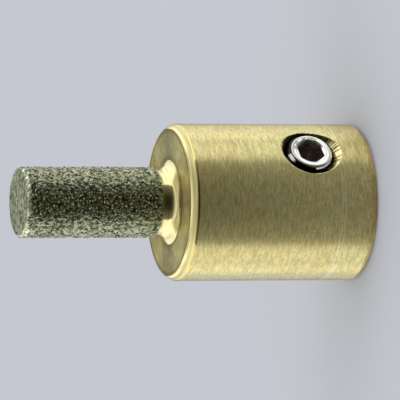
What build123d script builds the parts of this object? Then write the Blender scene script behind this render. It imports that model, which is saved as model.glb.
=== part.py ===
# Diamond mounted point for a small grinder: a brass hub that slips over the grinder's spindle and is clamped
# there by a grub screw, with a slim pin that carries a layer of diamond grit.
# The hub stands on its rear face at Z = 0 with its axis on Z, the pin points up, and the screw looks along -Y.
# All sizes are millimetres.
import os
from math import cos, radians, tan

from build123d import *

# Hub, turned from one brass bar together with its pin
hub_diameter = 16.0
hub_length = 19.9
front_chamfer_depth = 0.5
front_chamfer_length = 0.65
rear_chamfer = 0.55

# Blind bore that takes the grinder's spindle
spindle_diameter = 7.94
spindle_clearance = 0.02
bore_depth = 15.0
bore_mouth_chamfer = 0.4
drill_point_angle = 118.0

# Pin that stands on the hub's front face, and the bare neck that flares out between its coating and the hub
pin_diameter = 6.5
neck_length = 1.65
neck_foot_diameter = 8.6
pin_end_chamfer = 0.3

# Layer of diamond grit over the pin and across its end
coating_thickness = 0.41
coating_length = 14.25
coating_tip_radius = 0.45
coating_rear_chamfer = 0.1

# Tapped cross hole for the grub screw, countersunk where it leaves the hub
screw_height = 6.55
thread_clearance = 0.03
countersink_diameter = 6.44
countersink_angle = 90.0

# Grub screw with a hexagon socket and a cup point
thread_diameter = 5.0
screw_length = 3.7
screw_recess = 0.15
socket_end_diameter = 4.15
socket_across_flats = 2.55
socket_depth = 1.5
socket_turn = 6.0
socket_drill_angle = 120.0
cup_diameter = 2.5
cup_angle = 120.0

# Radii and stations that follow from the sizes above
hub_radius = hub_diameter / 2
bore_radius = spindle_diameter / 2 + spindle_clearance
pin_radius = pin_diameter / 2
neck_foot_radius = neck_foot_diameter / 2
coating_radius = pin_radius + coating_thickness
coating_start = hub_length + neck_length
coating_end = coating_start + coating_length
pin_end = coating_end - coating_thickness
thread_radius = thread_diameter / 2
tapped_radius = thread_radius + thread_clearance
countersink_radius = countersink_diameter / 2
socket_end_radius = socket_end_diameter / 2
cup_radius = cup_diameter / 2

# A cutting tool starts or ends this far outside the metal
overrun = 1.0

# The screw's own frame: its Z runs from the hub's axis out through the countersink
screw_frame = Plane(origin=(0, 0, screw_height), x_dir=(1, 0, 0), z_dir=(0, -1, 0))


def turned(outline):
    # One solid turned about Z from a closed half section in the XZ plane
    return revolve(Plane.XZ * make_face(outline), Axis.Z)


def cone_height(radius, included_angle):
    # Height of a cone of this base radius and this full angle at its point
    return radius / tan(radians(included_angle / 2))


def hub_blank():
    # Outer form: chamfered bar, flat front face, and the pin on its hollow neck
    body = Polyline(
        (0, 0),
        (hub_radius - rear_chamfer, 0),
        (hub_radius, rear_chamfer),
        (hub_radius, hub_length - front_chamfer_length),
        (hub_radius - front_chamfer_depth, hub_length),
        (neck_foot_radius, hub_length),
    )
    # The neck's arc runs straight into the pin where the coating starts
    neck = TangentArc((pin_radius, coating_start), body @ 1, tangent=(0, -1))
    pin = Polyline(
        neck @ 0,
        (pin_radius, pin_end - pin_end_chamfer),
        (pin_radius - pin_end_chamfer, pin_end),
        (0, pin_end),
        (0, 0),
    )
    return turned(body + neck + pin)


def spindle_bore():
    # Drilled and reamed from behind, with the drill's point left at the bottom
    mouth_radius = bore_radius + bore_mouth_chamfer + overrun
    point = bore_depth + cone_height(bore_radius, drill_point_angle)
    return turned(
        Polyline(
            (0, -overrun),
            (mouth_radius, -overrun),
            (bore_radius, bore_mouth_chamfer),
            (bore_radius, bore_depth),
            (0, point),
            close=True,
        )
    )


def screw_hole():
    # Tapped hole from the spindle bore to the outside, with its countersink, in the screw's own frame
    countersink_depth = cone_height(countersink_radius, countersink_angle) - cone_height(
        tapped_radius, countersink_angle
    )
    top = hub_radius + overrun
    top_radius = countersink_radius + overrun * tan(radians(countersink_angle / 2))
    return turned(
        Polyline(
            (0, 0),
            (tapped_radius, 0),
            (tapped_radius, hub_radius - countersink_depth),
            (top_radius, top),
            (0, top),
            close=True,
        )
    )


def brass_hub():
    return hub_blank() - spindle_bore() - screw_frame.location * screw_hole()


def diamond_coating():
    # A cap of even thickness that closes over the pin's end
    return turned(
        Polyline(
            (0, pin_end),
            (pin_radius - pin_end_chamfer, pin_end),
            (pin_radius, pin_end - pin_end_chamfer),
            (pin_radius, coating_start),
            (coating_radius - coating_rear_chamfer, coating_start),
            (coating_radius, coating_start + coating_rear_chamfer),
            (coating_radius, coating_end - coating_tip_radius),
        )
        + RadiusArc(
            (coating_radius, coating_end - coating_tip_radius),
            (coating_radius - coating_tip_radius, coating_end),
            -coating_tip_radius,
        )
        + Polyline((coating_radius - coating_tip_radius, coating_end), (0, coating_end), (0, pin_end))
    )


def set_screw():
    # Turned form, then the socket: a broached hexagon over the point of the drill that went in first
    outer_end = hub_radius - screw_recess
    inner_end = outer_end - screw_length
    end_chamfer = thread_radius - socket_end_radius
    blank = turned(
        Polyline(
            (0, inner_end + cone_height(cup_radius, cup_angle)),
            (cup_radius, inner_end),
            (thread_radius, inner_end + thread_radius - cup_radius),
            (thread_radius, outer_end - end_chamfer),
            (socket_end_radius, outer_end),
            (0, outer_end),
            close=True,
        )
    )
    corner_radius = socket_across_flats / 2 / cos(radians(30))
    hexagon = Pos(0, 0, outer_end - socket_depth) * RegularPolygon(corner_radius, 6, rotation=socket_turn)
    socket = extrude(hexagon, socket_depth + overrun)
    drill_radius = socket_across_flats / 2
    point_height = cone_height(drill_radius, socket_drill_angle)
    drill_point = Pos(0, 0, outer_end - socket_depth - point_height / 2) * Cone(0, drill_radius, point_height)
    return screw_frame.location * (blank - socket - drill_point)


os.makedirs("parts", exist_ok=True)
export_step(brass_hub(), "parts/brass_hub.step")
export_step(diamond_coating(), "parts/diamond_coating.step")
export_step(set_screw(), "parts/set_screw.step")
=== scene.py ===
# A diamond mounted point dressed for its picture: turned brass hub, plated diamond grit, steel grub screw.
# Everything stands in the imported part's own frame, in metres. Sizes in the dictionaries are millimetres.
import random
from math import acos, asin, atan2, cos, hypot, pi, radians, sin, sqrt, tan

import bmesh
import bpy
from mathutils import Euler, Matrix, Vector, noise


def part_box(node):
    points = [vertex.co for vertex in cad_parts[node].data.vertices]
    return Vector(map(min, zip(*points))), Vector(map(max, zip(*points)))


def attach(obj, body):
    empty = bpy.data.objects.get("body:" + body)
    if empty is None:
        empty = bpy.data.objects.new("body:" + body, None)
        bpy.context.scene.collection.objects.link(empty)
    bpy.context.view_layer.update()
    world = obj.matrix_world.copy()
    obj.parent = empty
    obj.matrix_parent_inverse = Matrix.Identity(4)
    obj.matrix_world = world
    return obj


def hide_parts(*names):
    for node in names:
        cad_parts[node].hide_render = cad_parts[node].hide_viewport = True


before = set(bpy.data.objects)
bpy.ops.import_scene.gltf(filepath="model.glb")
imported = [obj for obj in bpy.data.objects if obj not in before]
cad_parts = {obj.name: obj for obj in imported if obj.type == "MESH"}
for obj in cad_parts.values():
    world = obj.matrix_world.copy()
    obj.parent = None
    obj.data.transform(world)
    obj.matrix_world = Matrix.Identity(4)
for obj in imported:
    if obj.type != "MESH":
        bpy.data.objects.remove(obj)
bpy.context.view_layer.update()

mm = 0.001
fullTurn = 2 * pi
tolerance = 1e-4  # places closer than this many millimetres count as one


# Camera

cameraView = {
    "azimuth": -41.6,  # degrees; 0 looks along +Y
    "elevation": 18.7,
    "distance": 515.0,  # from the height below, on the axis
    "height": 10.0,
    "aimHeight": 16.51,  # what the picture's centre looks at
    "aimRise": 0.235,
    "focalLength": 452.7,  # the lens in millimetres, for a 36 mm wide frame
    "nearest": 10.0,
    "farthest": 5000.0,
}


def sightAxes():
    # level direction to the camera, direction to the camera, and the picture's up
    azimuth = radians(cameraView["azimuth"])
    elevation = radians(cameraView["elevation"])
    level = Vector((sin(azimuth), -cos(azimuth), 0))
    back = level * cos(elevation) + Vector((0, 0, sin(elevation)))
    up = Vector((cos(azimuth), sin(azimuth), 0))
    return level, back, up


def placeCamera():
    # the part stands on the floor but lies level in the picture, its tip to the left
    _, back, up = sightAxes()
    place = Vector((0, 0, cameraView["height"])) + back * cameraView["distance"]
    aim = Vector((0, 0, cameraView["aimHeight"])) + up * cameraView["aimRise"]
    look = (place - aim).normalized()
    right = up.cross(look).normalized()
    turn = Matrix((right, look.cross(right), look)).transposed().to_4x4()
    lens = bpy.data.cameras.new("pictureCamera")
    lens.lens = cameraView["focalLength"]
    lens.clip_start = cameraView["nearest"] * mm
    lens.clip_end = cameraView["farthest"] * mm
    camera = bpy.data.objects.new("pictureCamera", lens)
    camera.matrix_world = Matrix.Translation(place * mm) @ turn
    bpy.context.scene.collection.objects.link(camera)
    bpy.context.scene.camera = camera


# Helpers for meshes


def finishMesh(name, bm, creaseAngle):
    # smooth shading with hard edges where faces meet at more than the crease angle, in degrees; 0 keeps
    # every facet flat
    bmesh.ops.recalc_face_normals(bm, faces=bm.faces)
    mesh = bpy.data.meshes.new(name)
    bm.to_mesh(mesh)
    bm.free()
    mesh.polygons.foreach_set("use_smooth", [creaseAngle > 0] * len(mesh.polygons))
    if creaseAngle > 0:
        mesh.set_sharp_from_angle(angle=radians(creaseAngle))
    made = bpy.data.objects.new(name, mesh)
    bpy.context.scene.collection.objects.link(made)
    return made


def softOutline(corners, usualRound, steps=4, leastTurn=8.0, longestReach=0.4):
    # rounds the corners of an outline of (radius, height); one that asks for another round carries it
    # third. A corner that turns by less than the least turn, in degrees, stays as it is, and a round takes
    # no more of the shorter side than the longest reach. A point close to each end of it keeps the flat
    # shading beside it
    points = [Vector(corner[:2]) for corner in corners]
    rounds = [corner[2] if len(corner) > 2 else usualRound for corner in corners]
    soft = [points[0]]
    for before, corner, after, radius in zip(points, points[1:], points[2:], rounds[1:]):
        arrive = (corner - before).normalized()
        leave = (after - corner).normalized()
        turn = acos(max(-1.0, min(1.0, arrive.dot(leave))))
        if turn < radians(leastTurn):
            soft.append(corner)
            continue
        shorter = min((corner - before).length, (after - corner).length)
        reach = min(radius * tan(turn / 2), shorter * longestReach)
        start = corner - arrive * reach
        end = corner + leave * reach
        soft.append(start - arrive * (reach / 2))
        for step in range(steps + 1):
            part = step / steps
            soft.append(start.lerp(corner, part).lerp(corner.lerp(end, part), part))
        soft.append(end + leave * (reach / 2))
    soft.append(points[-1])
    return soft


def latheRings(bm, outline, columns, place):
    # one ring of vertices for each point of the outline, or a single vertex on the axis
    angles = [fullTurn * c / columns for c in range(columns)]
    rings = []
    for radius, height in outline:
        if radius < tolerance:
            rings.append([bm.verts.new(place(0.0, height, 0.0))])
        else:
            rings.append([bm.verts.new(place(radius, height, angle)) for angle in angles])
    return rings


def joinRings(bm, first, second, leftOut=()):
    # faces between two closed rings with as many vertices, or between a ring and one vertex
    count = max(len(first), len(second))
    for c in range(count):
        if c in leftOut:
            continue
        n = (c + 1) % count
        if len(first) == 1:
            bm.faces.new((first[0], second[c], second[n]))
        elif len(second) == 1:
            bm.faces.new((first[c], first[n], second[0]))
        else:
            bm.faces.new((first[c], first[n], second[n], second[c]))


# Helpers for materials


def newMaterial(name):
    material = bpy.data.materials.new(name)
    material.use_nodes = True
    material.node_tree.nodes.clear()
    return material, material.node_tree


def addNode(tree, kind, inputs=None, **settings):
    node = tree.nodes.new(kind)
    for key, value in settings.items():
        setattr(node, key, value)
    for key, value in (inputs or {}).items():
        if isinstance(value, bpy.types.NodeSocket):
            tree.links.new(value, node.inputs[key])
        else:
            node.inputs[key].default_value = value
    return node


def mathNode(tree, operation, first, second=0.0, third=0.0):
    return addNode(tree, "ShaderNodeMath", {0: first, 1: second, 2: third}, operation=operation).outputs[0]


def product(tree, first, second):
    return mathNode(tree, "MULTIPLY", first, second)


def weighted(tree, value, share, rest):
    # value times share, plus the rest
    return mathNode(tree, "MULTIPLY_ADD", value, share, rest)


def splitVector(tree, vector):
    return addNode(tree, "ShaderNodeSeparateXYZ", {"Vector": vector}).outputs


def noiseNode(tree, vector, scale, detail, roughness=0.5):
    inputs = {"Vector": vector, "Scale": scale, "Detail": detail, "Roughness": roughness}
    return addNode(tree, "ShaderNodeTexNoise", inputs).outputs["Fac"]


def rampNode(tree, factor, stops):
    # stops are (place, brightness) or (place, (red, green, blue))
    ramp = addNode(tree, "ShaderNodeValToRGB", {"Fac": factor})
    elements = ramp.color_ramp.elements
    while len(elements) < len(stops):
        elements.new(0.5)
    for element, (place, tone) in zip(elements, stops):
        element.position = place
        element.color = (*tone, 1) if isinstance(tone, tuple) else (tone, tone, tone, 1)
    return ramp.outputs["Color"]


def fadeNode(tree, factor, start, end, first=0.0, last=1.0):
    # one even change between two places
    return rampNode(tree, factor, [(start, first), (end, last)])


def blendNode(tree, factor, first, second, mode="MIX"):
    blend = addNode(tree, "ShaderNodeMix", {0: factor}, data_type="RGBA", blend_type=mode)
    for socket, tone in ((blend.inputs[6], first), (blend.inputs[7], second)):
        if isinstance(tone, bpy.types.NodeSocket):
            tree.links.new(tone, socket)
        else:
            socket.default_value = (*tone, 1)
    return blend.outputs[2]


def bumpNode(tree, height, strength, depth):
    inputs = {"Height": height, "Strength": strength, "Distance": depth * mm}
    return addNode(tree, "ShaderNodeBump", inputs).outputs[0]


def surfaceOutput(tree, shader):
    output = addNode(tree, "ShaderNodeOutputMaterial")
    tree.links.new(shader.outputs[0], output.inputs["Surface"])


def principledSurface(tree, tone, mirror, rough, more=None):
    inputs = {"Base Color": tone, "Metallic": mirror, "Roughness": rough, **(more or {})}
    surfaceOutput(tree, addNode(tree, "ShaderNodeBsdfPrincipled", inputs))


def newGroup(name, inputs, outputs):
    # inputs are name: default, a vector where the default is None
    group = bpy.data.node_groups.new(name, "ShaderNodeTree")
    for label, value in inputs.items():
        kind = "NodeSocketVector" if value is None else "NodeSocketFloat"
        socket = group.interface.new_socket(label, in_out="INPUT", socket_type=kind)
        if value is not None:
            socket.default_value = value
    for label in outputs:
        group.interface.new_socket(label, in_out="OUTPUT", socket_type="NodeSocketFloat")
    return group, addNode(group, "NodeGroupInput").outputs, addNode(group, "NodeGroupOutput").inputs


def placeGroup(tree, group, place, values):
    return addNode(tree, "ShaderNodeGroup", {"Position": place, **values}, node_tree=group).outputs


# Studio: pale floor, pale room, soft lamps, and the light tent that the metal mirrors

studio = {
    "floorSize": 6000.0,
    "paleColour": (0.60, 0.62, 0.68),
    "floorShade": 0.985,  # the floor's darker clouds, as a share of the pale colour
    "floorClouds": (0.3, 0.7),
    "floorCloudScale": 4.0,  # clouds to the metre
    "roomStrength": 0.84,
    "tentRadius": 300.0,
    # tones of the tent by direction round the part, 0 towards the camera, 1 straight behind: first below
    # the part's level, then above it
    "tentBelow": [
        (0.0, (0.060, 0.055, 0.027)),
        (0.12, (0.065, 0.060, 0.032)),
        (0.30, (0.15, 0.15, 0.12)),
        (0.348, (0.25, 0.25, 0.22)),
        (0.360, (0.60, 0.60, 0.58)),
        (0.39, (0.62, 0.62, 0.60)),
        (0.42, (0.54, 0.54, 0.53)),
        (0.52, (0.58, 0.58, 0.57)),
        (0.55, (0.76, 0.76, 0.75)),
        (0.57, (0.78, 0.78, 0.77)),
        (0.595, (1.05, 1.05, 1.05)),
        (0.66, (1.15, 1.15, 1.14)),
        (0.75, (0.92, 0.92, 0.92)),
        (0.82, (0.72, 0.72, 0.70)),
        (0.87, (0.55, 0.53, 0.46)),
        (0.89, (0.24, 0.20, 0.12)),
        (0.975, (0.06, 0.05, 0.04)),
    ],
    "tentAbove": [
        (0.0, (0.020, 0.019, 0.014)),
        (0.12, (0.035, 0.034, 0.026)),
        (0.30, (0.15, 0.15, 0.13)),
        (0.348, (0.27, 0.27, 0.24)),
        (0.360, (1.2, 1.2, 1.18)),
        (0.545, (1.4, 1.4, 1.38)),
        (0.58, (1.55, 1.55, 1.53)),
        (0.70, (1.40, 1.40, 1.38)),
        (0.82, (1.15, 1.17, 1.18)),
        (0.915, (1.00, 1.03, 1.06)),
        (0.93, (0.19, 0.20, 0.20)),
        (0.975, (0.13, 0.13, 0.12)),
    ],
    # and over it, by the lean from the camera's side (0) over the top (0.5) to the far side (1)
    "tentOver": [
        (0.25, (0.05, 0.05, 0.04)),
        (0.31, (0.12, 0.12, 0.11)),
        (0.345, (0.34, 0.34, 0.32)),
        (0.39, (0.82, 0.82, 0.80)),
        (0.43, (1.0, 1.0, 0.98)),
        (0.465, (0.56, 0.56, 0.53)),
        (0.53, (0.56, 0.54, 0.47)),
        (0.62, (0.52, 0.48, 0.38)),
        (0.75, (0.28, 0.27, 0.23)),
    ],
    "tentNadir": (0.30, 0.30, 0.29),
    # where one of these zones fades into the next, by height from the tent's foot (0) to its top (1)
    "aboveFrom": (0.47, 0.56),
    "overFrom": (0.84, 0.90),
    "nadirTo": (0.02, 0.12, 1.0, 0.0),
    # a small bright card in the tent, which the screw's end face mirrors
    "cardTone": (1.35, 1.35, 1.35),
    "cardAround": [(0.39, 0.0), (0.41, 1.0), (0.52, 1.0), (0.54, 0.0)],
    "cardHeight": [(0.28, 0.0), (0.295, 1.0), (0.385, 1.0), (0.40, 0.0)],
    "lampPower": 0.5,
    "lampShares": (1.0, 0.7),  # of that power, at the top and at the bottom of the picture
    "lampSize": 400.0,
    "lampAside": 500.0,
    "lampTowards": 100.0,  # towards the camera
    "lampHeight": 450.0,
}


def buildFloor():
    bm = bmesh.new()
    bmesh.ops.create_grid(bm, x_segments=1, y_segments=1, size=studio["floorSize"] * mm / 2)
    floorSheet = finishMesh("floorSheet", bm, 0)
    material, tree = newMaterial("paleFloor")
    place = addNode(tree, "ShaderNodeTexCoord").outputs["Object"]
    cloud = noiseNode(tree, place, studio["floorCloudScale"], 2.0)
    pale = studio["paleColour"]
    shaded = tuple(part * studio["floorShade"] for part in pale)
    tone = fadeNode(tree, cloud, *studio["floorClouds"], shaded, pale)
    surfaceOutput(tree, addNode(tree, "ShaderNodeBsdfDiffuse", {"Color": tone}))
    floorSheet.data.materials.append(material)
    floorSheet.visible_glossy = False


def buildTent():
    # a ball round the part that only glossy rays see: dark towards the camera, bright at both sides
    level, _, up = sightAxes()
    bm = bmesh.new()
    bmesh.ops.create_icosphere(bm, subdivisions=4, radius=studio["tentRadius"] * mm)
    tent = finishMesh("lightTent", bm, 30)
    tent.matrix_world = Matrix((level, up, Vector((0, 0, 1)))).transposed().to_4x4()
    material, tree = newMaterial("tentCloth")
    x, y, z = splitVector(tree, addNode(tree, "ShaderNodeTexCoord").outputs["Object"])
    around = mathNode(tree, "DIVIDE", mathNode(tree, "ABSOLUTE", mathNode(tree, "ARCTAN2", y, x)), pi)
    lean = mathNode(tree, "DIVIDE", mathNode(tree, "ARCTAN2", z, x), pi)
    height = weighted(tree, z, 0.5 / (studio["tentRadius"] * mm), 0.5)
    below = rampNode(tree, around, studio["tentBelow"])
    above = rampNode(tree, around, studio["tentAbove"])
    over = rampNode(tree, lean, studio["tentOver"])
    tone = blendNode(tree, fadeNode(tree, height, *studio["aboveFrom"]), below, above)
    tone = blendNode(tree, fadeNode(tree, height, *studio["overFrom"]), tone, over)
    tone = blendNode(tree, fadeNode(tree, height, *studio["nadirTo"]), tone, studio["tentNadir"])
    cardAround = rampNode(tree, around, studio["cardAround"])
    cardHeight = rampNode(tree, height, studio["cardHeight"])
    tone = blendNode(tree, product(tree, cardAround, cardHeight), tone, studio["cardTone"])
    surfaceOutput(tree, addNode(tree, "ShaderNodeEmission", {"Color": tone, "Strength": 1.0}))
    material.cycles.emission_sampling = "NONE"
    tent.data.materials.append(material)
    tent.visible_camera = False
    tent.visible_diffuse = False
    tent.visible_shadow = False


def buildRoom():
    # white light for the dull surfaces, and the floor's own pale colour wherever the room itself is seen
    world = bpy.data.worlds.new("paleRoom")
    bpy.context.scene.world = world
    world.use_nodes = True
    tree = world.node_tree
    tree.nodes.clear()
    path = addNode(tree, "ShaderNodeLightPath").outputs
    seen = mathNode(tree, "MAXIMUM", path["Is Camera Ray"], path["Is Glossy Ray"])
    seen = mathNode(tree, "MAXIMUM", seen, path["Is Transmission Ray"])
    white, pale = (1, 1, 1, 1), (*studio["paleColour"], 1)
    light = addNode(tree, "ShaderNodeBackground", {"Color": white, "Strength": studio["roomStrength"]})
    wall = addNode(tree, "ShaderNodeBackground", {"Color": pale, "Strength": 1.0})
    choice = addNode(tree, "ShaderNodeMixShader", {0: seen, 1: light.outputs[0], 2: wall.outputs[0]})
    output = addNode(tree, "ShaderNodeOutputWorld")
    tree.links.new(choice.outputs[0], output.inputs["Surface"])


def buildLamps():
    level, _, up = sightAxes()
    for side, share in zip((1, -1), studio["lampShares"]):
        lamp = bpy.data.lights.new("softLamp", "AREA")
        lamp.shape = "SQUARE"
        lamp.size = studio["lampSize"] * mm
        lamp.energy = studio["lampPower"] * share
        stand = bpy.data.objects.new("softLamp", lamp)
        spot = up * side * studio["lampAside"] + level * studio["lampTowards"]
        spot = (spot + Vector((0, 0, studio["lampHeight"]))) * mm
        stand.matrix_world = Matrix.Translation(spot) @ spot.to_track_quat("Z", "Y").to_matrix().to_4x4()
        stand.visible_glossy = False
        bpy.context.scene.collection.objects.link(stand)


bpy.context.scene.view_settings.view_transform = "Standard"
print("camera and studio")
placeCamera()
buildFloor()
buildTent()
buildRoom()
buildLamps()


# Effects that several materials share

ringEffect = {
    # how many rings pass with each millimetre of radius and of height; unequal, so that no chamfer runs
    # along a ring
    "byRadius": -0.6,
    "byHeight": 1.3,
    "coarseShare": 0.3,  # coarse rings for each fine one
    "leastRadius": 0.001,  # keeps the axis from dividing by nothing
    "detail": 3.0,
    "roughness": 0.6,
}


def turningMarksGroup():
    # fine rings left by the cutting tool; they follow the outline, so walls and flat faces both carry them.
    # The position is in the turned piece's own frame, in millimetres with the axis on Z
    group, given, out = newGroup(
        "turningMarks",
        {"Position": None, "Rings": 6.0, "Breaks": 1.0},
        ["Fine", "Coarse", "Radius"],
    )
    x, y, z = splitVector(group, given["Position"])
    radius = mathNode(group, "SQRT", mathNode(group, "ADD", product(group, x, x), product(group, y, y)))
    along = weighted(group, radius, ringEffect["byRadius"], product(group, z, ringEffect["byHeight"]))
    # the angle enters as a small circle, so that each ring fades in and out on its way round
    safe = mathNode(group, "MAXIMUM", radius, ringEffect["leastRadius"])
    east = product(group, mathNode(group, "DIVIDE", x, safe), given["Breaks"])
    north = product(group, mathNode(group, "DIVIDE", y, safe), given["Breaks"])
    for label, share in (("Fine", 1.0), ("Coarse", ringEffect["coarseShare"])):
        step = product(group, along, product(group, given["Rings"], share))
        spot = addNode(group, "ShaderNodeCombineXYZ", {"X": east, "Y": north, "Z": step}).outputs[0]
        rings = noiseNode(group, spot, 1.0, ringEffect["detail"], ringEffect["roughness"])
        group.links.new(rings, out[label])
    group.links.new(radius, out["Radius"])
    return group


def mottleGroup():
    # soft blotches of tarnish or handling, with a finer speckle inside them
    group, given, out = newGroup(
        "mottle",
        {"Position": None, "Size": 3.0, "Speckle": 0.3},
        ["Blotch", "Speck"],
    )
    for label, size, detail in (("Blotch", "Size", 4.0), ("Speck", "Speckle", 2.0)):
        scale = mathNode(group, "DIVIDE", 1.0, given[size])
        group.links.new(noiseNode(group, given["Position"], scale, detail), out[label])
    return group


turningMarks = turningMarksGroup()
mottle = mottleGroup()


def millimetrePosition(tree):
    # the object's own coordinates in millimetres
    place = addNode(tree, "ShaderNodeTexCoord").outputs["Object"]
    return addNode(tree, "ShaderNodeVectorMath", {0: place, "Scale": 1 / mm}, operation="SCALE").outputs[0]


def holePosition(tree):
    # the same in the frame of the tapped hole, whose axis points out along -Y
    middle = Vector((0, 0, hubShape["holeHeight"]))
    place = {0: millimetrePosition(tree), 1: middle}
    moved = addNode(tree, "ShaderNodeVectorMath", place, operation="SUBTRACT").outputs[0]
    turn = {"Vector": moved, "Rotation": (-pi / 2, 0, 0)}
    return addNode(tree, "ShaderNodeVectorRotate", turn, rotation_type="EULER_XYZ").outputs[0]


# Brass hub: one turned bar with its bore, its countersunk tapped hole, the flared neck and the pin

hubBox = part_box("brass_hub")
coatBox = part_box("diamond_coating")
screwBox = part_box("set_screw")

hubShape = {
    "radius": hubBox[1].x / mm,
    "length": 19.9,
    "frontChamferDepth": 0.5,
    "frontChamferLength": 0.68,
    "edgeWear": (0.161, 0.150),  # the strip worn steeper between the front chamfer and the flat face
    "rearChamfer": 0.55,
    "boreRadius": 3.99,
    "boreDepth": 15.0,
    "boreMouth": 0.4,
    "drillAngle": 118.0,
    "neckFoot": 4.3,
    "neckTop": coatBox[0].z / mm,
    "pinRadius": 3.25,
    "pinEnd": hubBox[1].z / mm,
    "pinChamfer": 0.3,
    "edgeRound": 0.05,
    "wallEdgeRound": 0.4,  # the worn edge between the wall and the front chamfer
    "faceEdgeRound": 0.05,
    "holeHeight": (screwBox[0].z + screwBox[1].z) / 2 / mm,
    "countersinkRadius": 3.22,
    "tappedRadius": 2.53,
    "rimRound": 0.09,  # reach of the rim's round over the wall
    "rimRoundInside": 0.063,  # and down the countersink
    "rimPasses": 12,  # times that the place of the rim is worked out again
    "rimRows": (0.55, 0.25, 0.08),  # rows between the rim and the gap in the wall, as shares of the way
    "columns": 256,
    "windowColumns": 19,  # half the width of the gap that is left in the wall for the hole
    "boreWindowColumns": 35,
    "boreWindowHalf": 3.0,
    "polishBelow": 0.17,  # the polish starts this far under the front chamfer
    "polishInside": 0.04,  # and ends this far inside its edge on the face
    "wallSlack": 0.01,  # the wall's flat facets lie less than this inside its radius
    "creaseAngle": 25,
}


def neckArc(steps=18):
    # quarter-like arc that meets the pin without a corner, from the flat face up
    rise = hubShape["neckTop"] - hubShape["length"]
    spread = hubShape["neckFoot"] - hubShape["pinRadius"]
    radius = (rise * rise + spread * spread) / (2 * spread)
    centre = Vector((hubShape["pinRadius"] + radius, hubShape["neckTop"]))
    leans = [asin(rise / radius) * (1 - k / steps) for k in range(steps + 1)]
    return [centre - Vector((cos(lean), sin(lean))) * radius for lean in leans]


def hubOutline():
    # from the bore's drill point down to its mouth, up the outside and the neck, and over the pin's end
    h = hubShape
    radius, length, bore, mouth = h["radius"], h["length"], h["boreRadius"], h["boreMouth"]
    faceRadius = radius - h["frontChamferDepth"]
    wearWidth, wearDepth = h["edgeWear"]
    corners = [
        (0.0, h["boreDepth"] + bore / tan(radians(h["drillAngle"] / 2))),
        (bore, h["boreDepth"]),
        (bore, mouth),
        (bore + mouth, 0.0),
        (radius - h["rearChamfer"], 0.0),
        (radius, h["rearChamfer"]),
        (radius, length - h["frontChamferLength"], h["wallEdgeRound"]),
        (faceRadius + wearWidth, length - wearDepth, h["faceEdgeRound"]),
        (faceRadius, length, h["faceEdgeRound"]),
        *neckArc(),
        (h["pinRadius"], h["pinEnd"] - h["pinChamfer"]),
        (h["pinRadius"] - h["pinChamfer"], h["pinEnd"]),
        (0.0, h["pinEnd"]),
    ]
    return softOutline(corners, h["edgeRound"])


def addRows(outline, radius, heights):
    # puts more points into the straight stretch of the outline that runs up or down at this radius
    done = []
    for first, second in zip(outline, outline[1:] + [None]):
        done.append(first)
        if second is None or abs(first[0] - radius) > tolerance or abs(second[0] - radius) > tolerance:
            continue
        low, high = sorted((first[1], second[1]))
        inside = sorted((height for height in heights if low < height < high), reverse=first[1] > second[1])
        done += [Vector((radius, height)) for height in inside]
    return done


def rowsNear(outline, radius, middle, reach):
    # the outline's points at this radius, no further than reach from the middle
    def isNear(point):
        return abs(point[0] - radius) < tolerance and abs(point[1] - middle) < reach + tolerance

    return [k for k, point in enumerate(outline) if isNear(point)]


def onHub(radius, height, angle):
    # the hole's own direction, -Y, is at angle 0
    return Vector((radius * sin(angle), -radius * cos(angle), height)) * mm


def windowLoop(rings, rows, half, columns):
    # the vertices round the gap in the wall, one after the other
    low, high = rows[0], rows[-1]
    loop = [rings[low][c % columns] for c in range(-half, half)]
    loop += [rings[row][half] for row in rows[:-1]]
    loop += [rings[high][c % columns] for c in range(half, -half, -1)]
    loop += [rings[row][-half % columns] for row in reversed(rows[1:])]
    return loop


def holeRings(bm, loop):
    # from the gap in the wall over the rounded rim, down the countersink and the tapped wall to the bore
    h = hubShape
    radius, sink, tapped, height = h["radius"], h["countersinkRadius"], h["tappedRadius"], h["holeHeight"]

    def onWall(across, rise):
        return onHub(radius, height + rise, across / radius)

    def onCone(angle, reach):
        return Vector((reach * cos(angle), -(radius - sink + reach), height + reach * sin(angle))) * mm

    lines = []
    for vertex in loop:
        across = atan2(vertex.co.x, -vertex.co.y) * radius
        rise = vertex.co.z / mm - height
        angle = atan2(rise, across)
        # the rim lies where the cone meets the round wall
        rim = sink
        for _ in range(h["rimPasses"]):
            rim = sink - (radius - sqrt(radius**2 - (rim * cos(angle)) ** 2))
        rimSpot = Vector((radius * asin(rim * cos(angle) / radius), rim * sin(angle)))
        gapSpot = Vector((across, rise))
        wall = [onWall(*rimSpot.lerp(gapSpot, share)) for share in h["rimRows"]]
        wallSide = onWall(*(rimSpot + rimSpot.normalized() * h["rimRound"]))
        coneSide = onCone(angle, rim - h["rimRoundInside"])
        corner = onCone(angle, rim)
        crown = wallSide.lerp(corner, 0.5).lerp(corner.lerp(coneSide, 0.5), 0.5)
        cone = [onCone(angle, (rim + tapped) / 2), onCone(angle, tapped)]
        side = tapped * cos(angle)
        depth = -sqrt(h["boreRadius"] ** 2 - side**2)
        inBore = Vector((side, depth, height + tapped * sin(angle))) * mm
        lines.append([*wall, wallSide, crown, coneSide, *cone, inBore])
    return [[bm.verts.new(spot) for spot in ring] for ring in zip(*lines)]


def loopEdges(bm, loop):
    pairs = zip(loop, loop[1:] + loop[:1])
    return [bm.edges.get(pair) or bm.edges.new(pair) for pair in pairs]


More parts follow.
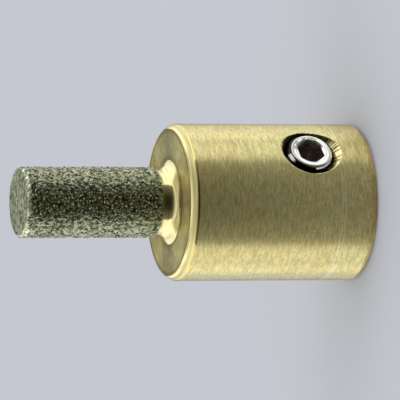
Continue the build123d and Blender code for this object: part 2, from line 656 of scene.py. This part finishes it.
def buildHub():
    h = hubShape
    columns, half, boreHalf = h["columns"], h["windowColumns"], h["boreWindowColumns"]
    middle, reach = h["holeHeight"], h["radius"] * fullTurn / columns * half
    wallRows = [middle + reach * k / half for k in range(-half, half + 1)]
    boreRows = [middle - h["boreWindowHalf"], middle + h["boreWindowHalf"]]
    outline = addRows(hubOutline(), h["radius"], wallRows)
    outline = addRows(outline, h["boreRadius"], boreRows)
    bm = bmesh.new()
    rings = latheRings(bm, outline, columns, onHub)
    inWall = rowsNear(outline, h["radius"], middle, reach)
    inBore = rowsNear(outline, h["boreRadius"], middle, h["boreWindowHalf"])
    for k in range(len(rings) - 1):
        leftOut = ()
        for rows, side in ((inWall, half), (inBore, boreHalf)):
            if rows[0] <= k < rows[-1]:
                leftOut = {c % columns for c in range(-side, side)}
        joinRings(bm, rings[k], rings[k + 1], leftOut)
    loop = windowLoop(rings, inWall, half, columns)
    inner = holeRings(bm, loop)
    for first, second in zip([loop] + inner, inner):
        joinRings(bm, first, second)
    boreLoop = windowLoop(rings, inBore, boreHalf, columns)
    bmesh.ops.bridge_loops(bm, edges=loopEdges(bm, inner[-1]) + loopEdges(bm, boreLoop))
    # the vertices inside the two gaps carry no faces
    bmesh.ops.delete(bm, geom=[vertex for vertex in bm.verts if not vertex.link_faces], context="VERTS")
    return finishMesh("brassHub", bm, h["creaseAngle"])


# Metal bond and diamond grains round the pin

gritShape = {
    "start": coatBox[0].z / mm,
    "end": coatBox[1].z / mm,
    "radius": coatBox[1].x / mm,
    "bondDepth": 0.11,  # how far the bond lies under the grains' tips
    "tipHeight": 0.36,  # the round between the wall and the end face: this high
    "tipWidth": 0.28,  # and this wide
    "tipRows": 7,
    "endDepth": 0.03,
    "columns": 320,
    "rowStep": 0.07,
    "creaseAngle": 50,
    "bumpHeight": 0.06,
    "bumpSize": 0.38,
    "fineBumpHeight": 0.5,  # shares of the two above
    "fineBumpSize": 0.55,
    "endBumps": 0.25,  # height of the bumps on the worn end face, as a share of those on the wall
    "grainSpacing": 0.30,
    "grainJitter": 0.5,  # share of the spacing
    "grainMargins": (0.03, 0.02),  # room at the rear edge and at the middle of the end face
    "grainsMissing": 0.12,
    "grainSize": (0.10, 0.18),
    "grainStretch": ((0.75, 1.25), (0.75, 1.25), (0.7, 1.1)),
    "grainCorners": (0.8, 1.15),  # how far in or out a corner lies
    "grainFoot": 0.25,  # the grains' outline over the bond's, as a share of the bond's depth
    "proudOnWall": (0.03, 0.105),  # how far the tips stand out of the bond
    "proudOnEnd": (0.0, 0.02),
    "endFrom": 0.7,  # a grain that points this much along the axis belongs to the end face
    "seed": 7,
}


def gritOutline(inset, endInset):
    # from the rear edge along the wall, over the tip's round and across the end to the axis
    g = gritShape
    start, radius, end = g["start"], g["radius"] - inset, g["end"] - endInset
    wallEnd, flat = g["end"] - g["tipHeight"], radius - g["tipWidth"]
    wallRows = max(2, round((wallEnd - start) / g["rowStep"]))
    points = [Vector((radius, start + (wallEnd - start) * k / wallRows)) for k in range(wallRows)]
    for k in range(g["tipRows"]):
        lean = pi / 2 * k / g["tipRows"]
        points.append(Vector((flat + g["tipWidth"] * cos(lean), wallEnd + (end - wallEnd) * sin(lean))))
    faceRows = round(flat / g["rowStep"])
    points += [Vector((flat * (1 - k / faceRows), end)) for k in range(faceRows + 1)]
    return points


def bondHeight(spot):
    # low bumps where the metal has grown up round the grains; the shift keeps the fine ones apart from them
    g = gritShape
    shift = Vector((7.3, 1.1, 4.2))
    coarse = noise.noise(spot / g["bumpSize"])
    fine = noise.noise(spot / (g["bumpSize"] * g["fineBumpSize"]) + shift)
    return g["bumpHeight"] * (coarse + g["fineBumpHeight"] * fine)


def buildBond():
    g = gritShape
    outer = gritOutline(g["bondDepth"], g["endDepth"])
    bm = bmesh.new()
    rise = bm.verts.layers.float.new("rise")
    rings = latheRings(bm, outer, g["columns"], onHub)
    for ring, (radius, _) in zip(rings, outer):
        # 0 on the wall, 1 on the end face
        flatPart = max(0.0, min(1.0, (g["radius"] - g["bondDepth"] - radius) / g["tipWidth"]))
        calm = 1 - (1 - g["endBumps"]) * flatPart
        for vertex in ring:
            spot = vertex.co / mm
            level = bondHeight(spot)
            outward = Vector((spot.x, spot.y, 0)).normalized() * (1 - flatPart)
            outward.z = flatPart
            vertex.co += outward * (level * calm) * mm
            vertex[rise] = 0.5 + level / g["bumpHeight"]
    # the rear edge and the inside, against the pin
    pinRadius, pinEnd, chamfer = hubShape["pinRadius"], hubShape["pinEnd"], hubShape["pinChamfer"]
    inside = [
        (pinRadius, g["start"]),
        (pinRadius, pinEnd - chamfer),
        (pinRadius - chamfer, pinEnd),
        (0.0, pinEnd),
    ]
    core = latheRings(bm, inside, g["columns"], onHub)
    joinRings(bm, rings[0], core[0])
    for side in (rings, core):
        for first, second in zip(side, side[1:]):
            joinRings(bm, first, second)
    return finishMesh("metalBond", bm, g["creaseAngle"])


def grainSpots(rng):
    # grains stand in loose rows over the outline, jittered and here and there missing
    g = gritShape
    spacing, jitter = g["grainSpacing"], g["grainJitter"]
    rearMargin, endMargin = g["grainMargins"]
    outline = gritOutline(g["bondDepth"] * (1 - g["grainFoot"]), g["endDepth"])
    lengths = [0.0]
    for first, second in zip(outline, outline[1:]):
        lengths.append(lengths[-1] + (second - first).length)

    def pointAfter(travel):
        return next(k for k, length in enumerate(lengths) if length >= travel)

    spots = []
    rows = int(lengths[-1] / spacing)
    for row in range(rows):
        ringLength = (row + 0.5) * lengths[-1] / rows
        count = max(3, round(fullTurn * outline[pointAfter(ringLength)][0] / spacing))
        for c in range(count):
            if rng.random() < g["grainsMissing"]:
                continue
            travel = max(ringLength + rng.uniform(-jitter, jitter) * spacing, rearMargin)
            travel = min(travel, lengths[-1] - endMargin)
            k = pointAfter(travel)
            part = (travel - lengths[k - 1]) / (lengths[k] - lengths[k - 1])
            radius, height = outline[k - 1].lerp(outline[k], part)
            angle = fullTurn * (c + rng.uniform(-jitter, jitter)) / count
            step = outline[k] - outline[k - 1]
            spots.append((radius, height, angle, Vector((step.y, -step.x)).normalized()))
    return spots


def buildGrains():
    g = gritShape
    rng = random.Random(g["seed"])
    crystal = bmesh.new()
    bmesh.ops.create_icosphere(crystal, subdivisions=1, radius=1.0)
    shape = [vertex.co.copy() for vertex in crystal.verts]
    sides = [[vertex.index for vertex in face.verts] for face in crystal.faces]
    crystal.free()
    bm = bmesh.new()
    for radius, height, angle, outward in grainSpots(rng):
        size = rng.uniform(*g["grainSize"])
        stretch = Vector([rng.uniform(*limits) for limits in g["grainStretch"]]) * size
        turn = Euler([rng.uniform(0, fullTurn) for _ in range(3)]).to_matrix()
        points = []
        for corner in shape:
            rough = corner * rng.uniform(*g["grainCorners"])
            points.append(turn @ Vector([rough[i] * stretch[i] for i in range(3)]))
        normal = Vector((sin(angle) * outward.x, -cos(angle) * outward.x, outward.y))
        top = max(point.dot(normal) for point in points)
        # the grain's tip stays at most at the coating's outer surface, lower on the worn end face
        onEnd = outward.y > g["endFrom"]
        proud = rng.uniform(*g["proudOnEnd" if onEnd else "proudOnWall"])
        under = 0.0 if onEnd else g["bondDepth"] * g["grainFoot"]
        centre = onHub(radius, height, angle) / mm
        shift = normal * (proud - under - top)
        corners = [bm.verts.new((centre + point + shift) * mm) for point in points]
        for side in sides:
            bm.faces.new([corners[i] for i in side])
    return finishMesh("diamondGrains", bm, 0)


# Steel grub screw with its thread and hexagon socket

screwShape = {
    "radius": screwBox[1].x / mm,
    "outerEnd": -screwBox[0].y / mm,
    "innerEnd": -screwBox[1].y / mm,
    "pitch": 0.8,
    "threadDepth": 0.49,
    "threadStart": 0.35,  # share of a turn at which the crest meets the outer end
    "crestHalf": 1 / 16,  # half the flat crest, as a share of the pitch
    "flank": 5 / 16,
    "firstRow": 2,  # row of the wall at which the thread starts
    "faceRadius": 2.06,
    "socketFlats": 2.57,
    "socketTurn": 6.0,
    "socketDepth": 1.5,
    "socketMouth": 1.56,
    "mouthSlope": 26.0,
    "drillAngle": 120.0,
    "drillShare": 0.98,  # width of the drill's cone at the socket's floor, as a share of the flats
    "cupRadius": 1.25,
    "cupAngle": 120.0,
    "columns": 144,
    "rows": 144,
    "edgeRound": 0.03,
    "creaseAngle": 35,
}


def onScrew(radius, height, angle):
    # the screw's own axis points out through the hole, along -Y
    return Vector((radius * cos(angle), -height, radius * sin(angle) + hubShape["holeHeight"])) * mm


def threadRadius(height, angle):
    # crest, sloping flank and root of the helical groove, cut off by the cone at each end
    s = screwShape
    phase = ((s["outerEnd"] - height) / s["pitch"] + angle / fullTurn + s["threadStart"]) % 1.0
    fromCrest = min(phase, 1 - phase)
    depth = max(0.0, min(1.0, (fromCrest - s["crestHalf"]) / s["flank"])) * s["threadDepth"]
    outerCone = s["faceRadius"] + s["outerEnd"] - height
    innerCone = s["cupRadius"] + height - s["innerEnd"]
    return min(s["radius"] - depth, outerCone, innerCone)


def socketRadius(angle):
    # distance from the axis to the hexagon's side in this direction
    s = screwShape
    fromCorner = (angle - radians(s["socketTurn"])) % (fullTurn / 6)
    return s["socketFlats"] / 2 / cos(fromCorner - fullTurn / 12)


def buildScrew():
    s = screwShape
    columns, outer, inner = s["columns"], s["outerEnd"], s["innerEnd"]
    soft, mouth, face = s["edgeRound"], s["socketMouth"], s["faceRadius"]
    socketFloor = outer - s["socketDepth"]
    drillRadius = s["socketFlats"] / 2
    drillPoint = socketFloor - drillRadius / tan(radians(s["drillAngle"] / 2))
    cupPoint = inner + s["cupRadius"] / tan(radians(s["cupAngle"] / 2))
    angles = [fullTurn * c / columns for c in range(columns)]
    bm = bmesh.new()

    def ring(radiusAt, heightAt):
        return [bm.verts.new(onScrew(radiusAt(angle), heightAt(angle), angle)) for angle in angles]

    def plainRing(radius, height):
        return ring(lambda angle: radius, lambda angle: height)

    def mouthDepth(angle):
        return (mouth - socketRadius(angle)) * tan(radians(s["mouthSlope"]))

    # from the drill's point out of the socket; the shares of the round are what it takes of each side
    rings = [
        [bm.verts.new(onScrew(0, drillPoint, 0))],
        plainRing(drillRadius * s["drillShare"], socketFloor),
        ring(socketRadius, lambda angle: socketFloor),
        ring(socketRadius, lambda angle: outer - mouthDepth(angle) - soft),
        ring(lambda angle: socketRadius(angle) + soft * 0.4, lambda angle: outer - mouthDepth(angle)),
        plainRing(mouth - soft, outer - soft * 0.6),
        plainRing(mouth + soft, outer),
        plainRing(face - soft, outer),
        plainRing(face + soft * 0.4, outer - soft * 0.8),
    ]
    for row in range(s["firstRow"], s["rows"] - 1):
        height = outer + (inner - outer) * row / s["rows"]
        rings.append(ring(lambda angle: threadRadius(height, angle), lambda angle: height))
    rings.append(plainRing(s["cupRadius"], inner))
    rings.append([bm.verts.new(onScrew(0, cupPoint, 0))])
    for first, second in zip(rings, rings[1:]):
        joinRings(bm, first, second)
    return finishMesh("grubScrew", bm, s["creaseAngle"])


# Finishes. Two numbers are the places between which a mask or a tone fades, four are those places and the
# values there. Roughness is how much it varies and its least value, a bump its strength and depth. Rings
# and Breaks, or Size and Speckle, are what the two shared effects are placed with

brassFinish = {
    "bright": (0.96, 0.86, 0.44),
    "dull": (0.58, 0.49, 0.21),
    "brownTint": (1.0, 0.95, 0.88),
    "greenTint": (0.97, 1.0, 0.96),
    # near-black of the painted shade in the gap round the screw, also used for the chatter marks
    "sinkGapShade": (0.035, 0.030, 0.015),
    # the wall and the flat face
    "wallMarks": {"Rings": 4.8, "Breaks": 8.5},
    "wallStain": {"Size": 1.6, "Speckle": 0.3},
    "wallPatches": {"Size": 3.0, "Speckle": 1.1},
    "wallContrast": (0.28, 0.62),
    "wallBlotches": (0.45, 0.75, 0.0, 0.35),
    "wallSpecks": (0.48, 0.68, 0.0, 0.45),
    "wallHues": (0.32, 0.62),
    "wallRoughness": (0.10, 0.26),
    "wallBump": (0.3, 0.02),
    "anisotropy": 1.0,
    "anisotropyTurn": 0.25,
    "specular": 0.2,
    # share of the surface that mirrors, by height in parts of 20 mm; the rest is a dull film
    "wallMirror": (0.15, 0.95, 0.74, 0.86),
    "faceLevel": 0.5,
    "faceFrom": (0.47, 0.49),  # by height over a level that far under the front face
    "cloudContrast": (0.30, 0.66),
    "cloudShare": 0.6,
    # painted shade: darker rings on the flat face by radius in parts of 8 mm, round the neck's foot and
    # along the edge
    "faceShadeRings": [(0.57, 0.8), (0.62, 0.0), (0.88, 0.0), (0.90, 0.85)],
    "faceShadeTone": (0.62, 0.54, 0.38),
    # olive near the rear at the picture's top, by distance and height in parts of 10 mm; painted shade
    # opposite
    "pictureUp": (0.748, -0.664, 0.0),
    "oliveAcross": (0.50, 0.75),
    "oliveUp": (0.35, 0.70, 1.0, 0.0),
    "oliveTone": (0.60, 0.56, 0.45),
    "lowSideShadeAcross": (0.655, 0.70),
    "lowSideShadeTone": (0.80, 0.84, 1.0),
    # how far the patches move these edges: the olive's side, its top, and the painted shade's side
    "ragged": (0.3, 0.4, -0.10),
    "rearStain": (0.55, 0.75, 1.0, 0.0),  # by height in mm
    "rearTone": (0.84, 0.74, 0.60),
    "ringHeights": (3.5, 3.85),
    "ringWidth": (0.03, 0.10, 1.0, 0.0),
    "ringTone": (1.0, 0.95, 0.62),
    # the neck, and the front chamfer by height over its own level under the front face
    "neckMarks": {"Rings": 3.4, "Breaks": 1.0},
    "neckContrast": (0.36, 0.52),
    "neckWear": (0.40, 0.52, 0.35, 0.0),
    "neckRoughness": (0.10, 0.06),
    "neckBump": (0.2, 0.02),
    "chamferLevel": 1.0,
    "chamferTones": [
        (0.40, (1.0, 0.95, 0.78)),
        (0.52, (1.0, 0.95, 0.78)),
        (0.58, (0.72, 0.74, 0.60)),
        (0.72, (0.80, 0.82, 0.72)),
        (0.80, (1.0, 1.0, 1.0)),
    ],
    "chamferRoughness": [(0.42, 0.0), (0.48, 0.22), (0.84, 0.22), (0.87, 0.0)],
    "chamferMirror": [(0.34, 1.0), (0.42, 0.40), (0.82, 0.40), (0.86, 1.0)],
    # the countersink and the tapped wall
    "sinkMarks": {"Rings": 4.0, "Breaks": 6.0},
    "chatterMarks": {"Rings": 0.3, "Breaks": 26.0},
    "sinkStain": {"Size": 0.7, "Speckle": 0.15},
    "sinkContrast": (0.35, 0.50),
    "sinkRoughness": (0.15, 0.12),
    "chatter": (0.51, 0.57, 0.0, 0.8),
    # painted shade in the gap round the screw, with a ragged edge
    "sinkGapShadeTo": (0.70, 0.745, 1.0, 0.0),  # by radius in parts of 4 mm
    "sinkGapShadeRagged": 0.3,
    "sinkGapShadeTipwards": -0.10,
}


def turnedBrass():
    # the wall, the chamfers and the flat face, all cut by the lathe
    f = brassFinish
    material, tree = newMaterial("turnedBrass")
    place = millimetrePosition(tree)
    height = splitVector(tree, place)["Z"]
    marks = placeGroup(tree, turningMarks, place, f["wallMarks"])
    stain = placeGroup(tree, mottle, place, f["wallStain"])
    patches = placeGroup(tree, mottle, place, f["wallPatches"])
    tone = fadeNode(tree, marks["Fine"], *f["wallContrast"], f["dull"], f["bright"])
    # the flat face shows soft clouds more than rings
    clouds = fadeNode(tree, patches["Speck"], *f["cloudContrast"], f["dull"], f["bright"])
    onFace = mathNode(tree, "SUBTRACT", height, hubShape["length"] - f["faceLevel"])
    onFace = fadeNode(tree, onFace, *f["faceFrom"])
    tone = blendNode(tree, product(tree, onFace, f["cloudShare"]), tone, clouds)
    # painted shade on the flat face: a painted corner shade round the neck's foot and a painted dark
    # reflection along its edge
    faceShadeRings = product(tree, onFace, rampNode(tree, product(tree, marks["Radius"], 1 / 8), f["faceShadeRings"]))
    tone = blendNode(tree, faceShadeRings, tone, f["faceShadeTone"], "MULTIPLY")
    tone = blendNode(tree, fadeNode(tree, stain["Blotch"], *f["wallBlotches"]), tone, f["dull"])
    tone = blendNode(tree, fadeNode(tree, stain["Speck"], *f["wallSpecks"]), tone, f["dull"])
    hues = fadeNode(tree, patches["Blotch"], *f["wallHues"], f["brownTint"], f["greenTint"])
    tone = blendNode(tree, 1.0, tone, hues, "MULTIPLY")
    # darker olive on the side at the picture's top, near the rear
    oliveRagged, oliveRaggedUp, lowSideShadeRagged = f["ragged"]
    aside = addNode(tree, "ShaderNodeVectorMath", {0: place, 1: f["pictureUp"]}, operation="DOT_PRODUCT")
    across = product(tree, aside.outputs["Value"], 1 / 10)
    oliveAcross = fadeNode(tree, weighted(tree, patches["Blotch"], oliveRagged, across), *f["oliveAcross"])
    up = weighted(tree, patches["Blotch"], oliveRaggedUp, product(tree, height, 1 / 10))
    olive = product(tree, oliveAcross, fadeNode(tree, up, *f["oliveUp"]))
    tone = blendNode(tree, olive, tone, f["oliveTone"], "MULTIPLY")
    # brown along the rear edge, and painted shade, grey-blue, along the side at the picture's bottom
    tone = blendNode(tree, fadeNode(tree, height, *f["rearStain"]), tone, f["rearTone"], "MULTIPLY")
    lowSideShade = weighted(tree, stain["Blotch"], lowSideShadeRagged, product(tree, across, -1.0))
    tone = blendNode(tree, fadeNode(tree, lowSideShade, *f["lowSideShadeAcross"]), tone, f["lowSideShadeTone"], "MULTIPLY")
    # a few single rings that the tool or a clamp has left
    for ringHeight in f["ringHeights"]:
        away = mathNode(tree, "ABSOLUTE", mathNode(tree, "SUBTRACT", height, ringHeight))
        ring = product(tree, fadeNode(tree, away, *f["ringWidth"]), marks["Coarse"])
        tone = blendNode(tree, ring, tone, f["ringTone"])
    # the film is a little thicker towards the rear, where the hub is handled
    mirror = fadeNode(tree, product(tree, height, 1 / 20), *f["wallMirror"])
    more = {
        "Specular IOR Level": f["specular"],
        "Anisotropic": f["anisotropy"],
        "Anisotropic Rotation": f["anisotropyTurn"],
        "Tangent": addNode(tree, "ShaderNodeTangent", direction_type="RADIAL", axis="Z").outputs[0],
        "Normal": bumpNode(tree, marks["Fine"], *f["wallBump"]),
    }
    principledSurface(tree, tone, mirror, weighted(tree, stain["Speck"], *f["wallRoughness"]), more)
    return material


def polishedBrass():
    # the neck, smoother than the wall, and the front chamfer under a thin film
    f = brassFinish
    material, tree = newMaterial("polishedBrass")
    place = millimetrePosition(tree)
    marks = placeGroup(tree, turningMarks, place, f["neckMarks"])
    tone = fadeNode(tree, marks["Fine"], *f["neckContrast"], f["dull"], f["bright"])
    tone = blendNode(tree, fadeNode(tree, marks["Coarse"], *f["neckWear"]), tone, f["dull"])
    height = splitVector(tree, place)["Z"]
    onChamfer = mathNode(tree, "SUBTRACT", height, hubShape["length"] - f["chamferLevel"])
    tone = blendNode(tree, 1.0, tone, rampNode(tree, onChamfer, f["chamferTones"]), "MULTIPLY")
    rough = weighted(tree, marks["Fine"], *f["neckRoughness"])
    rough = mathNode(tree, "ADD", rough, rampNode(tree, onChamfer, f["chamferRoughness"]))
    mirror = rampNode(tree, onChamfer, f["chamferMirror"])
    bump = bumpNode(tree, marks["Coarse"], *f["neckBump"])
    principledSurface(tree, tone, mirror, rough, {"Normal": bump})
    return material


def sinkBrass():
    # the countersink and the tapped wall: chatter marks, and painted shade down in the gap round the screw
    f = brassFinish
    material, tree = newMaterial("sinkBrass")
    place = holePosition(tree)
    marks = placeGroup(tree, turningMarks, place, f["sinkMarks"])
    chatter = placeGroup(tree, turningMarks, place, f["chatterMarks"])
    stain = placeGroup(tree, mottle, place, f["sinkStain"])
    # the painted shade reaches further on the side towards the tip
    edge = weighted(tree, stain["Blotch"], f["sinkGapShadeRagged"], marks["Radius"])
    edge = weighted(tree, splitVector(tree, place)["Y"], f["sinkGapShadeTipwards"], edge)
    sinkGapShade = fadeNode(tree, product(tree, edge, 1 / 4), *f["sinkGapShadeTo"])
    tone = fadeNode(tree, marks["Fine"], *f["sinkContrast"], f["dull"], f["bright"])
    # dark chatter marks, in the near-black of the painted shade
    tone = blendNode(tree, fadeNode(tree, chatter["Fine"], *f["chatter"]), tone, f["sinkGapShade"])
    # painted shade down in the gap round the screw
    tone = blendNode(tree, sinkGapShade, tone, f["sinkGapShade"])
    principledSurface(tree, tone, 1.0, weighted(tree, marks["Coarse"], *f["sinkRoughness"]))
    return material


gritFinish = {
    # dark of the painted shade in the pits between the grains
    "bondPitShade": (0.075, 0.082, 0.047),
    "bondLight": (0.50, 0.53, 0.38),
    "endDark": (0.22, 0.26, 0.16),
    "endLight": (0.92, 0.99, 0.72),
    "olive": (0.34, 0.40, 0.18),
    "brown": (0.42, 0.34, 0.24),
    "bondStain": {"Size": 0.8, "Speckle": 0.22},
    "bondPatches": {"Size": 0.9, "Speckle": 0.42},
    # how much specks, and blotches on the end face, add to the height that the tones follow
    "specksAdd": 0.8,
    "blotchesAdd": 3.0,
    "bondContrast": (0.30, 0.75),
    "endContrast": (0.10, 0.75),
    "oliveBlotches": (0.45, 0.65, 0.0, 0.6),
    "brownSpecks": (0.52, 0.65, 0.0, 0.5),
    # the tip, worn and with a painted highlight over its round, by distance from the end in mm; it is
    # duller than the wall
    "tipWearAndHighlight": (0.48, 0.56, 1.0, 0.0),
    "bondMirror": (0.30, 0.50, 0.68, 1.0),
    "bondRoughness": (0.2, 0.20),
    "bondBump": (0.5, 0.03),
    "grainDark": (0.17, 0.19, 0.12),
    "grainLight": (0.66, 0.70, 0.51),
    "grainStain": {"Size": 0.5, "Speckle": 0.2},
    "grainContrast": (0.40, 0.62),
    "grainMirror": 0.98,
    "grainRoughness": (0.2, 0.30),
}


def platedBond():
    # painted shade in the pits between the grains, bright where the metal stands up, and over the tip real
    # wear with a painted highlight
    f = gritFinish
    material, tree = newMaterial("platedBond")
    place = millimetrePosition(tree)
    stain = placeGroup(tree, mottle, place, f["bondStain"])
    patches = placeGroup(tree, mottle, place, f["bondPatches"])
    rise = addNode(tree, "ShaderNodeAttribute", attribute_name="rise").outputs["Fac"]
    level = weighted(tree, mathNode(tree, "SUBTRACT", stain["Speck"], 0.5), f["specksAdd"], rise)
    endLevel = weighted(tree, mathNode(tree, "SUBTRACT", patches["Blotch"], 0.5), f["blotchesAdd"], level)
    fromEnd = mathNode(tree, "SUBTRACT", gritShape["end"], splitVector(tree, place)["Z"])
    # painted shade in the pits: the wall's tone follows the bond's height
    wallTone = fadeNode(tree, level, *f["bondContrast"], f["bondPitShade"], f["bondLight"])
    endTone = fadeNode(tree, endLevel, *f["endContrast"], f["endDark"], f["endLight"])
    # the tip takes the end's tone: real wear, with a painted highlight over the round
    tone = blendNode(tree, fadeNode(tree, fromEnd, *f["tipWearAndHighlight"]), wallTone, endTone)
    tone = blendNode(tree, fadeNode(tree, stain["Blotch"], *f["oliveBlotches"]), tone, f["olive"])
    tone = blendNode(tree, fadeNode(tree, patches["Speck"], *f["brownSpecks"]), tone, f["brown"])
    mirror = fadeNode(tree, fromEnd, *f["bondMirror"])
    rough = weighted(tree, stain["Blotch"], *f["bondRoughness"])
    bump = bumpNode(tree, stain["Speck"], *f["bondBump"])
    principledSurface(tree, tone, mirror, rough, {"Normal": bump})
    return material


def diamondCrystal():
    f = gritFinish
    material, tree = newMaterial("diamondCrystal")
    stain = placeGroup(tree, mottle, millimetrePosition(tree), f["grainStain"])
    tone = fadeNode(tree, stain["Speck"], *f["grainContrast"], f["grainDark"], f["grainLight"])
    rough = weighted(tree, stain["Blotch"], *f["grainRoughness"])
    principledSurface(tree, tone, f["grainMirror"], rough)
    return material


steelFinish = {
    "bright": (0.95, 0.95, 0.93),
    "dull": (0.75, 0.75, 0.73),
    # near-black of the painted shade in the thread's gap and the socket; the socket's is mottled with the
    # brown below
    "screwShade": (0.030, 0.026, 0.020),
    "socketShadeBrown": (0.10, 0.070, 0.045),
    # grey-green of the painted dim reflection on one arc of the end face
    "dimReflectionTone": (0.20, 0.22, 0.16),
    "marks": {"Rings": 8.0, "Breaks": 1.5},
    "stain": {"Size": 0.6, "Speckle": 0.25},
    "contrast": (0.3, 0.5),
    "roughness": (0.10, 0.12),
    # the end face's edge and the thread beyond it, by 0.3 times the radius
    "outside": (0.55, 0.56),
    "insideEdge": (0.555, 0.575, 1.0, 0.0),
    # painted shade outside, by depth under the end face in mm, a little lower towards the hub's rear
    "screwShadeFrom": (0.08, 0.16),
    "screwShadeSlope": 0.05,
    # painted shade in the socket, and how much it and the painted glints take from the mirror
    "socketFrom": (0.155, 0.19),
    "socketShadeContrast": (0.4, 0.6),
    "glintAndShadeDulls": -0.9,
    # painted glints: the thread shows bright this close to its crest, from this depth on
    "crestGlintReach": (0.03, 0.08, 1.0, 0.0),
    "crestGlintFrom": (0.10, 0.15),
    # where the glints are painted, and where the end face's painted dim reflection lies, both by share
    #     # of a turn from the -X side by way of the hub's rear
    "glintArcs": [
        (0.0, 0.0),
        (0.012, 1.0),
        (0.13, 1.0),
        (0.15, 0.0),
        (0.76, 0.0),
        (0.775, 1.0),
        (0.82, 1.0),
        (0.845, 0.0),
    ],
    "dimReflectionArc": [(0.36, 0.0), (0.42, 1.0), (0.69, 1.0), (0.74, 0.0)],
    "dimReflectionSpecks": (0.40, 0.55, 0.25, 1.0),
}


def platedSteel():
    # bright on the end face, painted glints on the thread's crests, painted shade in its grooves and down
    # in the socket
    f = steelFinish
    material, tree = newMaterial("platedSteel")
    place = holePosition(tree)
    marks = placeGroup(tree, turningMarks, place, f["marks"])
    stain = placeGroup(tree, mottle, place, f["stain"])
    east, north, height = splitVector(tree, place)
    depth = mathNode(tree, "SUBTRACT", screwShape["outerEnd"], height)
    turn = weighted(tree, mathNode(tree, "ARCTAN2", north, east), 1 / fullTurn, 0.5)
    radius = product(tree, marks["Radius"], 0.3)
    outside = fadeNode(tree, radius, *f["outside"])
    # painted shade on the thread down in the gap round the screw
    below = fadeNode(tree, weighted(tree, north, f["screwShadeSlope"], depth), *f["screwShadeFrom"])
    below = product(tree, below, outside)
    # the thread's crest, and the cone that cuts it off at the end face
    cone = mathNode(tree, "ADD", depth, screwShape["faceRadius"])
    cone = mathNode(tree, "MINIMUM", cone, screwShape["radius"])
    # painted glints on two arcs of the thread's crest, made less metallic below so that they show bright
    crestGlint = fadeNode(tree, mathNode(tree, "SUBTRACT", cone, marks["Radius"]), *f["crestGlintReach"])
    crestGlint = product(tree, crestGlint, fadeNode(tree, depth, *f["crestGlintFrom"]))
    crestGlint = product(tree, crestGlint, rampNode(tree, turn, f["glintArcs"]))
    tone = fadeNode(tree, marks["Fine"], *f["contrast"], f["dull"], f["bright"])
    # painted shade in the thread's gap, kept off the painted glints
    tone = blendNode(tree, mathNode(tree, "SUBTRACT", below, crestGlint), tone, f["screwShade"])
    # painted dim reflection: grey-green specks on one arc of the end face, inside its edge
    dimReflection = fadeNode(tree, radius, *f["insideEdge"])
    dimReflection = product(tree, dimReflection, fadeNode(tree, stain["Speck"], *f["dimReflectionSpecks"]))
    dimReflection = product(tree, dimReflection, rampNode(tree, turn, f["dimReflectionArc"]))
    tone = blendNode(tree, dimReflection, tone, f["dimReflectionTone"])
    # painted shade down in the socket, near-black mottled with brown
    socket = mathNode(tree, "SUBTRACT", fadeNode(tree, depth, *f["socketFrom"]), outside)
    socketShade = fadeNode(tree, marks["Coarse"], *f["socketShadeContrast"], f["screwShade"], f["socketShadeBrown"])
    tone = blendNode(tree, socket, tone, socketShade)
    # the painted glints and the socket's painted shade are less metallic
    mirror = weighted(tree, mathNode(tree, "MAXIMUM", crestGlint, socket), f["glintAndShadeDulls"], 1.0)
    principledSurface(tree, tone, mirror, weighted(tree, marks["Coarse"], *f["roughness"]))
    return material


def dress(piece, body, materials, node=None):
    for material in materials:
        piece.data.materials.append(material)
    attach(piece, body)
    if node:
        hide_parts(node)


def finishParts(hub):
    # 1 is the polished neck and front chamfer, 2 the walls of the hole
    h = hubShape
    chamferFoot = h["length"] - h["frontChamferLength"] - h["polishBelow"]
    faceEdge = h["radius"] - h["frontChamferDepth"] - h["polishInside"]
    for face in hub.data.polygons:
        spot = face.center / mm
        reach = hypot(spot.x, spot.y)
        onNeck = spot.z > h["length"] - tolerance and reach < h["neckFoot"]
        onEdge = spot.z > chamferFoot and reach > faceEdge
        inHole = hypot(spot.x, spot.z - h["holeHeight"]) < h["countersinkRadius"] and spot.y < 0
        if onNeck or onEdge:
            face.material_index = 1
        elif inHole and h["boreRadius"] < reach < h["radius"] - h["wallSlack"]:
            face.material_index = 2


print("brass hub")
hub = buildHub()
dress(hub, "hub", [turnedBrass(), polishedBrass(), sinkBrass()], "brass_hub")
finishParts(hub)
print("bond and grains")
dress(buildBond(), "hub", [platedBond()], "diamond_coating")
dress(buildGrains(), "hub", [diamondCrystal()])
print("grub screw")
dress(buildScrew(), "set_screw", [platedSteel()], "set_screw")
